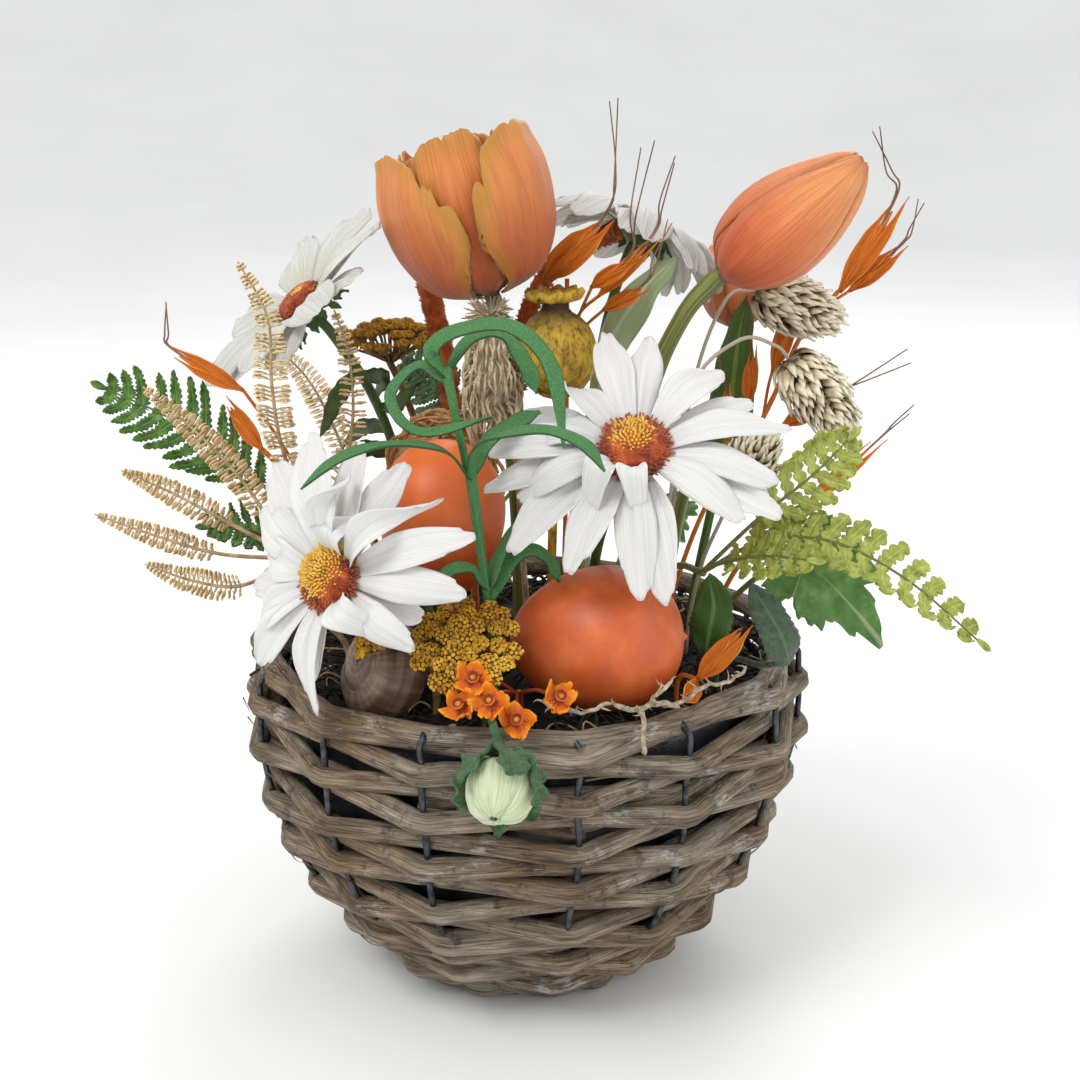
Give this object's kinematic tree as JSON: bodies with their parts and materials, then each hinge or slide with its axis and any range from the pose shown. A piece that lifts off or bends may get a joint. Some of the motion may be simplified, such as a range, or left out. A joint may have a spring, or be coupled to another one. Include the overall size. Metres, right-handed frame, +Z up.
{
  "type": "flower basket arrangement",
  "caption": "Round woven willow basket filled with silk daisies, tulips, dyed oats, ferns, seed heads and orange eggs standing in moss and foam.",
  "frame": {"origin": "centre of the basket's flat underside, where it rests on the table", "axes": "+Z up through the arrangement, -Y towards the viewer of the picture, +X to that viewer's right"},
  "size_m": [0.2923, 0.224, 0.3002],
  "materials": {
    "silk_white": "matt woven silk cloth, faintly translucent",
    "daisy_disc": "matt fuzzy disc, rust at the rim and yellow at the crown",
    "calyx_green": "matt dark green",
    "tulip_orange": "satin coated cloth, orange with yellow-green edges",
    "tulip_coral": "satin coated cloth, coral with red streaks",
    "stem_green": "satin olive plastic over wire",
    "leaf_green": "satin green",
    "leaf_pale": "satin pale green",
    "poppy_brown": "dry matt seed pod, mottled brown and ochre",
    "egg_orange": "satin dyed orange shell",
    "nest_tan": "matt dry fibre",
    "shell_brown": "satin brown and mauve shell",
    "yarrow_gold": "dry matt florets, gold over brown stalks",
    "blossom_orange": "matt dyed flowers",
    "rosebud_cream": "satin cream and pale green",
    "ribbon_green": "matt glittered green ribbon",
    "rust_red": "matt fuzzy dyed spike",
    "straw": "dry matt straw",
    "oat_orange": "dry matt dyed oats",
    "fern_bleached": "dry matt bleached fern",
    "fern_green": "satin dark green",
    "fern_lime": "satin yellow-green",
    "ivy_green": "satin green with pale veins",
    "leaf_felt": "matt felted grey-green",
    "lichen": "dry matt twig",
    "willow": "weathered grey-brown willow, rough",
    "wire": "dark annealed wire, satin",
    "film": "dark film, satin",
    "foam": "dry matt floral foam",
    "moss": "matt dark curly fibre"
  },
  "bodies": {
    "root": {"daisy_front_right_petals": "silk_white", "daisy_front_right_disc": "daisy_disc", "daisy_front_right_stem": "calyx_green", "daisy_front_left_petals": "silk_white", "daisy_front_left_disc": "daisy_disc", "daisy_front_left_stem": "calyx_green", "daisy_back_left_petals": "silk_white", "daisy_back_left_disc": "daisy_disc", "daisy_back_left_stem": "calyx_green", "daisy_back_right_petals": "silk_white", "daisy_back_right_disc": "daisy_disc", "daisy_back_right_stem": "calyx_green", "tulip_open_petals": "tulip_orange", "tulip_open_stem": "stem_green", "tulip_bud_petals": "tulip_coral", "tulip_bud_stem": "stem_green", "tulip_small_petals": "tulip_coral", "tulip_small_stem": "stem_green", "leaf_tulip_dark": "leaf_green", "leaf_tulip_light": "leaf_pale", "poppy_pod": "poppy_brown", "egg_front": "egg_orange", "egg_upper": "egg_orange", "fibre_nest": "nest_tan", "snail_shell": "shell_brown", "yarrow_front_right": "yarrow_gold", "yarrow_front_left": "yarrow_gold", "yarrow_back": "yarrow_gold", "blossoms_orange": "blossom_orange", "rosebud_petals": "rosebud_cream", "rosebud_sepals": "calyx_green", "ribbon_leaf_pick": "ribbon_green", "spike_rust_left": "rust_red", "spike_rust_right": "rust_red", "seed_head_shaggy": "straw", "canary_grass_upper": "straw", "canary_grass_middle": "straw", "canary_grass_lower": "straw", "oats_left": "oat_orange", "oats_middle": "oat_orange", "oats_right": "oat_orange", "oats_low_right": "oat_orange", "oats_front": "oat_orange", "fern_bleached_upright": "fern_bleached", "fern_bleached_side": "fern_bleached", "fern_green_left": "fern_green", "fern_lime": "fern_lime", "leaf_ivy": "ivy_green", "leaf_serrate": "leaf_felt", "leaf_behind_egg": "leaf_green", "lichen_twigs": "lichen", "fern_back": "fern_green", "leaf_ivy_back": "ivy_green", "fern_bleached_back": "fern_bleached", "basket_wicker": "willow", "basket_wires": "wire", "liner_film": "film", "foam_block": "foam", "moss_fill": "moss"}
  },
  "joints": []
}
